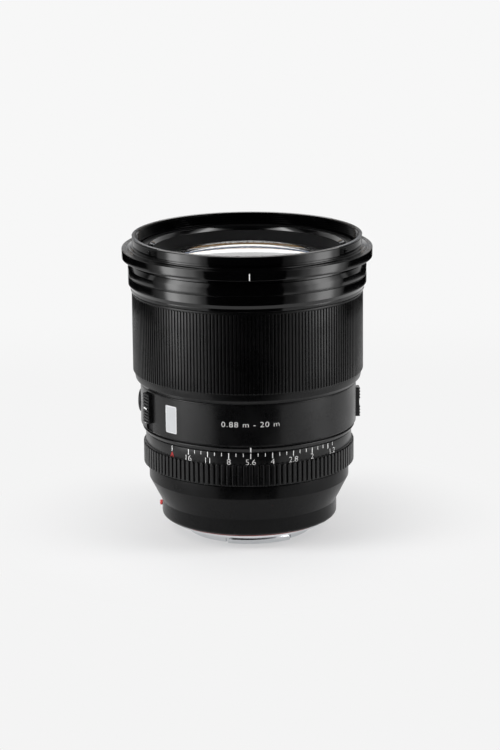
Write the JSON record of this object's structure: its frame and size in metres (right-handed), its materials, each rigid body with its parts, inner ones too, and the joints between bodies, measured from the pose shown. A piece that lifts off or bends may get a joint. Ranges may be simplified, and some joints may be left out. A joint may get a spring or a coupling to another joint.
{
  "type": "camera lens",
  "caption": "Fast prime lens with bayonet mount, aperture ring, ribbed focus ring, slide switches, function button, closing iris and a moving focus group.",
  "frame": {"origin": "centre of the bayonet's rear end, on the optical axis, where the lens stands", "axes": "+Z along the optical axis towards the front glass, -Y towards the aperture index line, +X to the right of someone who faces that line"},
  "size_m": [0.087, 0.087, 0.105],
  "materials": {
    "satin_black": "black anodised, satin",
    "gloss_black": "black anodised, glossy",
    "matte_black": "black anodised, matte against stray light",
    "chromed_mount": "chromed brass, turned",
    "steel": "plain machined steel",
    "red_gasket": "moulded red rubber",
    "red_bead": "glossy red, domed",
    "gold_contacts": "gold plated",
    "black_plastic": "moulded, matte",
    "silver_plate": "satin silver with a lighter border",
    "switch_plastic": "moulded, fine texture",
    "green_board": "circuit board laminate",
    "flexible_board": "amber polyimide film",
    "blade_steel": "thin steel, matte black coating",
    "brass_nut": "machined",
    "coated_glass": "polished, coated"
  },
  "bodies": {
    "barrel": {"badge_plate": "silver_plate", "bayonet_mount": "chromed_mount", "chassis_barrel": "matte_black", "circuit_board": "green_board", "circuit_board_screws": "steel", "click_switch_plate": "switch_plastic", "contact_block": "black_plastic", "contact_pins": "gold_contacts", "eighth_element": "coated_glass", "fifth_element": "coated_glass", "focus_motor": "steel", "fourteenth_fifteenth_elements": "coated_glass", "front_baffle": "matte_black", "front_barrel": "gloss_black", "front_element": "coated_glass", "front_lens_cell": "matte_black", "guide_rods": "steel", "hood_ring": "gloss_black", "iris_base_plate": "matte_black", "iris_cover_plate": "matte_black", "iris_motor": "steel", "main_barrel": "satin_black", "mode_switch_plate": "switch_plastic", "mount_gasket": "red_gasket", "mount_index_bead": "red_bead", "mount_screws": "steel", "name_ring": "matte_black", "rear_baffle": "black_plastic", "rear_barrel": "satin_black", "rear_cell": "matte_black", "rear_retaining_ring": "matte_black", "second_element": "coated_glass", "sixteenth_element": "coated_glass", "sixth_seventh_elements": "coated_glass", "switch_board": "flexible_board", "third_fourth_elements": "coated_glass"},
    "focus_group": {"focus_cell": "matte_black", "ninth_element": "coated_glass", "tenth_eleventh_elements": "coated_glass", "twelfth_thirteenth_elements": "coated_glass", "focus_retaining_ring": "matte_black", "focus_nut": "brass_nut"},
    "focus_ring": {"focus_ring": "satin_black"},
    "aperture_ring": {"aperture_ring": "satin_black"},
    "iris_drive_ring": {"iris_drive_ring": "black_plastic"},
    "iris_blade_01": {"iris_blade_01": "blade_steel"},
    "iris_blade_02": {"iris_blade_02": "blade_steel"},
    "iris_blade_03": {"iris_blade_03": "blade_steel"},
    "iris_blade_04": {"iris_blade_04": "blade_steel"},
    "iris_blade_05": {"iris_blade_05": "blade_steel"},
    "iris_blade_06": {"iris_blade_06": "blade_steel"},
    "iris_blade_07": {"iris_blade_07": "blade_steel"},
    "iris_blade_08": {"iris_blade_08": "blade_steel"},
    "iris_blade_09": {"iris_blade_09": "blade_steel"},
    "iris_blade_10": {"iris_blade_10": "blade_steel"},
    "iris_blade_11": {"iris_blade_11": "blade_steel"},
    "lead_screw": {"lead_screw": "steel"},
    "mode_switch_knob": {"mode_switch_knob": "switch_plastic"},
    "click_switch_knob": {"click_switch_knob": "switch_plastic"},
    "function_button": {"function_button": "switch_plastic"}
  },
  "joints": [
    {"name": "focus_ring_turn", "type": "hinge", "parent": "barrel", "child": "focus_ring", "pos_m": [0, 0, 0.07], "axis": [0, 0, 1], "continuous": true},
    {"name": "aperture_ring_turn", "type": "hinge", "parent": "barrel", "child": "aperture_ring", "pos_m": [0, 0, 0.03], "axis": [0, 0, 1], "range_deg": [-53, 48]},
    {"name": "iris_drive_turn", "type": "hinge", "parent": "barrel", "child": "iris_drive_ring", "pos_m": [0, 0, 0.0498], "axis": [0, 0, 1], "range_deg": [-7.3, 6.6]},
    {"name": "iris_blade_01_turn", "type": "hinge", "parent": "barrel", "child": "iris_blade_01", "pos_m": [0.0278, 0, 0.0476], "axis": [0, 0, 1], "range_deg": [-20.8, 18.9]},
    {"name": "iris_blade_02_turn", "type": "hinge", "parent": "barrel", "child": "iris_blade_02", "pos_m": [0.02339, 0.01503, 0.0476], "axis": [0, 0, 1], "range_deg": [-20.8, 18.9]},
    {"name": "iris_blade_03_turn", "type": "hinge", "parent": "barrel", "child": "iris_blade_03", "pos_m": [0.01155, 0.02529, 0.0476], "axis": [0, 0, 1], "range_deg": [-20.8, 18.9]},
    {"name": "iris_blade_04_turn", "type": "hinge", "parent": "barrel", "child": "iris_blade_04", "pos_m": [-0.00396, 0.02752, 0.0476], "axis": [0, 0, 1], "range_deg": [-20.8, 18.9]},
    {"name": "iris_blade_05_turn", "type": "hinge", "parent": "barrel", "child": "iris_blade_05", "pos_m": [-0.01821, 0.02101, 0.0476], "axis": [0, 0, 1], "range_deg": [-20.8, 18.9]},
    {"name": "iris_blade_06_turn", "type": "hinge", "parent": "barrel", "child": "iris_blade_06", "pos_m": [-0.02667, 0.00783, 0.0476], "axis": [0, 0, 1], "range_deg": [-20.8, 18.9]},
    {"name": "iris_blade_07_turn", "type": "hinge", "parent": "barrel", "child": "iris_blade_07", "pos_m": [-0.02667, -0.00783, 0.0476], "axis": [0, 0, 1], "range_deg": [-20.8, 18.9]},
    {"name": "iris_blade_08_turn", "type": "hinge", "parent": "barrel", "child": "iris_blade_08", "pos_m": [-0.01821, -0.02101, 0.0476], "axis": [0, 0, 1], "range_deg": [-20.8, 18.9]},
    {"name": "iris_blade_09_turn", "type": "hinge", "parent": "barrel", "child": "iris_blade_09", "pos_m": [-0.00396, -0.02752, 0.0476], "axis": [0, 0, 1], "range_deg": [-20.8, 18.9]},
    {"name": "iris_blade_10_turn", "type": "hinge", "parent": "barrel", "child": "iris_blade_10", "pos_m": [0.01155, -0.02529, 0.0476], "axis": [0, 0, 1], "range_deg": [-20.8, 18.9]},
    {"name": "iris_blade_11_turn", "type": "hinge", "parent": "barrel", "child": "iris_blade_11", "pos_m": [0.02339, -0.01503, 0.0476], "axis": [0, 0, 1], "range_deg": [-20.8, 18.9]},
    {"name": "focus_slide", "type": "slide", "parent": "barrel", "child": "focus_group", "axis": [0, 0, 1], "range_m": [0, 0.0065]},
    {"name": "lead_screw_turn", "type": "hinge", "parent": "barrel", "child": "lead_screw", "pos_m": [0.026, 0, 0.037], "axis": [0, 0, 1], "range_deg": [-2341, 1]},
    {"name": "mode_switch_slide", "type": "slide", "parent": "barrel", "child": "mode_switch_knob", "axis": [0, 0, 1], "range_m": [-0.0028, 0]},
    {"name": "click_switch_slide", "type": "slide", "parent": "barrel", "child": "click_switch_knob", "axis": [0, 0, 1], "range_m": [0, 0.0028]},
    {"name": "function_button_press", "type": "slide", "parent": "barrel", "child": "function_button", "axis": [0.9925, -0.1219, 0], "range_m": [0, 0.00045], "stiffness_N_per_m": 400, "springref_m": -0.001}
  ],
  "couplings": [
    {"joint": "iris_drive_turn", "follows": "aperture_ring_turn", "ratio": 0.1365},
    {"joint": "iris_blade_01_turn", "follows": "aperture_ring_turn", "ratio": 0.39},
    {"joint": "iris_blade_02_turn", "follows": "aperture_ring_turn", "ratio": 0.39},
    {"joint": "iris_blade_03_turn", "follows": "aperture_ring_turn", "ratio": 0.39},
    {"joint": "iris_blade_04_turn", "follows": "aperture_ring_turn", "ratio": 0.39},
    {"joint": "iris_blade_05_turn", "follows": "aperture_ring_turn", "ratio": 0.39},
    {"joint": "iris_blade_06_turn", "follows": "aperture_ring_turn", "ratio": 0.39},
    {"joint": "iris_blade_07_turn", "follows": "aperture_ring_turn", "ratio": 0.39},
    {"joint": "iris_blade_08_turn", "follows": "aperture_ring_turn", "ratio": 0.39},
    {"joint": "iris_blade_09_turn", "follows": "aperture_ring_turn", "ratio": 0.39},
    {"joint": "iris_blade_10_turn", "follows": "aperture_ring_turn", "ratio": 0.39},
    {"joint": "iris_blade_11_turn", "follows": "aperture_ring_turn", "ratio": 0.39},
    {"joint": "lead_screw_turn", "follows": "focus_slide", "rad_per_m": -6283.2}
  ]
}
